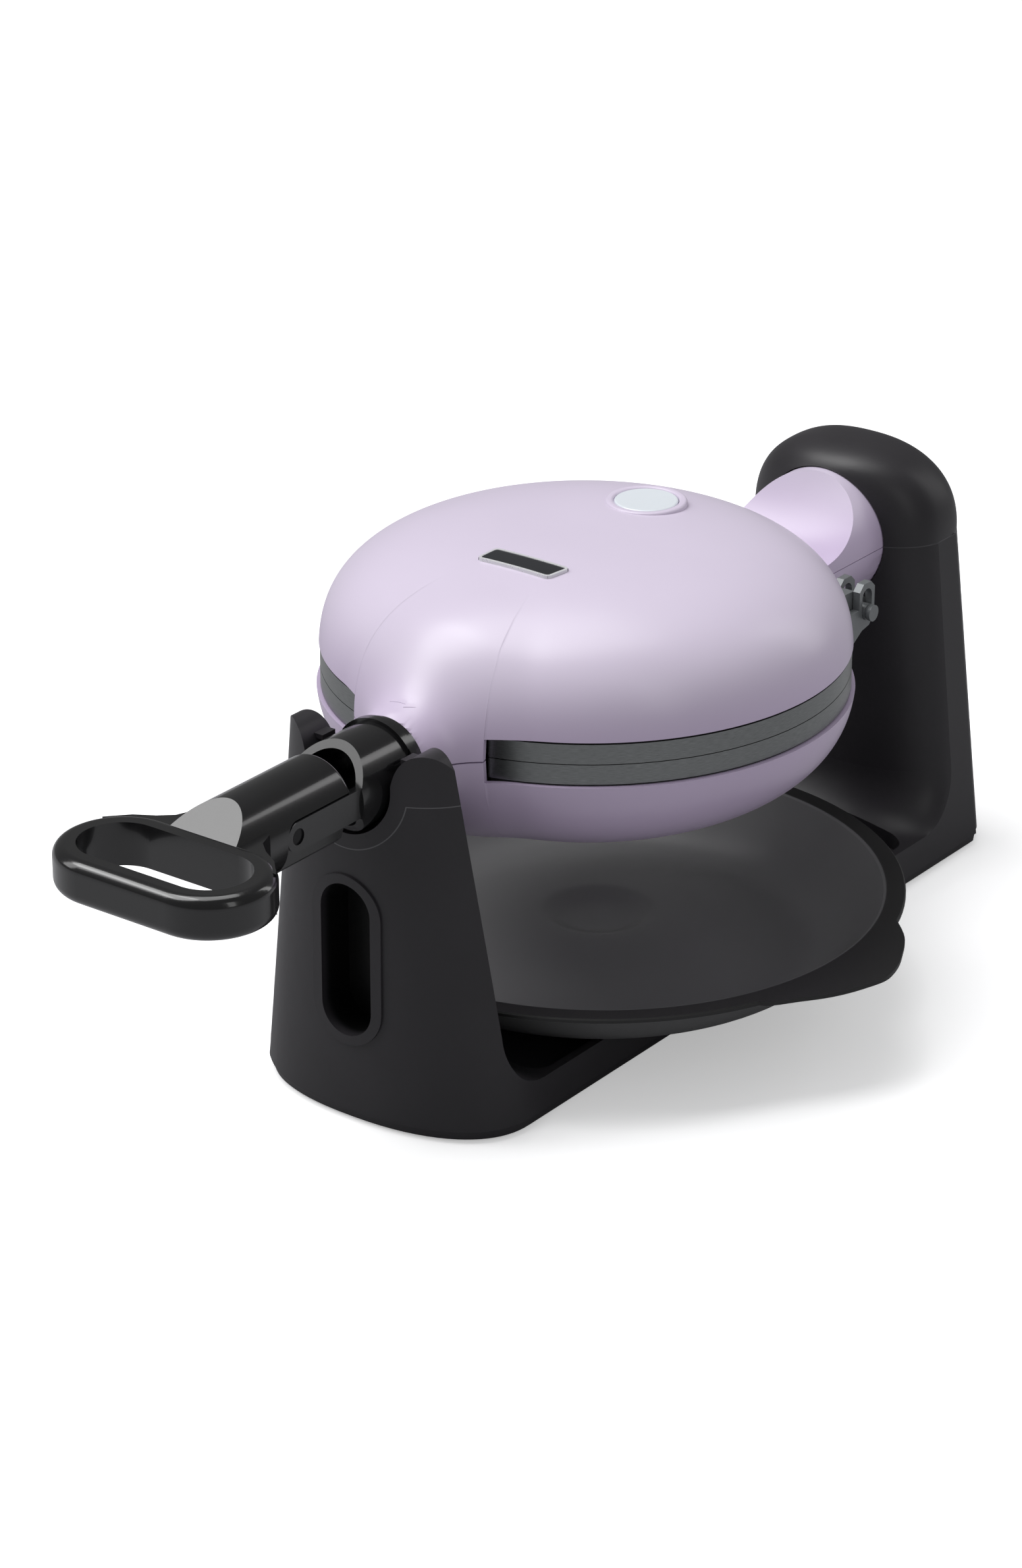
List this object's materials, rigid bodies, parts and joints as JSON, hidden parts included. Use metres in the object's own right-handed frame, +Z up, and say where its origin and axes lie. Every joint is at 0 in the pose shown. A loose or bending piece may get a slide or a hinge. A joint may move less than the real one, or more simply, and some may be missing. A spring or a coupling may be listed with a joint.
{
  "type": "rotating belgian waffle maker",
  "caption": "Countertop belgian waffle maker whose round cooker flips over on two posts, with a fold-down handle and a pull-out drip tray.",
  "frame": {"origin": "centre of the bounding box at the floor", "axes": "+Y along the flip axis from the handle to the rear post, +X to the tray tab's side, +Z up"},
  "size_m": [0.2466, 0.4717, 0.1829],
  "materials": {
    "charcoal": "matte",
    "gloss_black": "polished",
    "lilac": "satin",
    "band_metal": "brushed",
    "hinge_grey": "satin",
    "nonstick": "non-stick coating",
    "tray_grey": "satin",
    "lens_white": "translucent white",
    "badge_dark": "polished",
    "rubber": "matte",
    "steel": "zinc plated",
    "brass": "plain"
  },
  "bodies": {
    "base": {"base_housing": "charcoal", "front_cradle": "charcoal", "rear_cap": "charcoal", "base_cover": "charcoal", "base_screws": "steel", "feet": "rubber", "rear_bush": "brass", "bush_saddle": "charcoal"},
    "rotor": {"bowl_shell": "lilac", "barrel_cover": "lilac", "hinge_bracket": "hinge_grey", "lower_band": "band_metal", "lower_plate": "nonstick", "lower_heater": "steel", "thermostat": "steel", "lower_plate_screws": "steel", "spindle": "steel", "spindle_clip": "steel"},
    "hinge_pin": {"hinge_pins": "hinge_grey"},
    "lid": {"lid_shell": "lilac", "upper_band": "band_metal", "upper_plate": "nonstick", "upper_heater": "steel", "thermal_cutout": "steel", "upper_plate_screws": "steel", "lamp_lens": "lens_white", "lamp_bulb": "lens_white", "badge": "badge_dark", "lid_knuckles": "hinge_grey", "collar_upper": "gloss_black", "collar_lower": "gloss_black", "handle_pin": "steel"},
    "handle": {"handle_upper": "gloss_black", "handle_lower": "gloss_black"},
    "tray": {"tray": "tray_grey"}
  },
  "joints": [
    {"name": "flip", "type": "hinge", "parent": "base", "child": "rotor", "pos_m": [-0.0125, 0.02385, 0.132], "axis": [0, 1, 0], "range_deg": [-180, 0]},
    {"name": "lid_float", "type": "slide", "parent": "rotor", "child": "hinge_pin", "axis": [0, 0, 1], "range_m": [0, 0.006]},
    {"name": "lid_open", "type": "hinge", "parent": "hinge_pin", "child": "lid", "pos_m": [-0.0125, 0.12785, 0.13], "axis": [-1, 0, 0], "range_deg": [0, 95]},
    {"name": "handle_fold", "type": "hinge", "parent": "lid", "child": "handle", "pos_m": [-0.0125, -0.16265, 0.1325], "axis": [1, 0, 0], "range_deg": [0, 90]},
    {"name": "tray_slide", "type": "slide", "parent": "base", "child": "tray", "axis": [1, 0, 0], "range_m": [0, 0.19]}
  ]
}
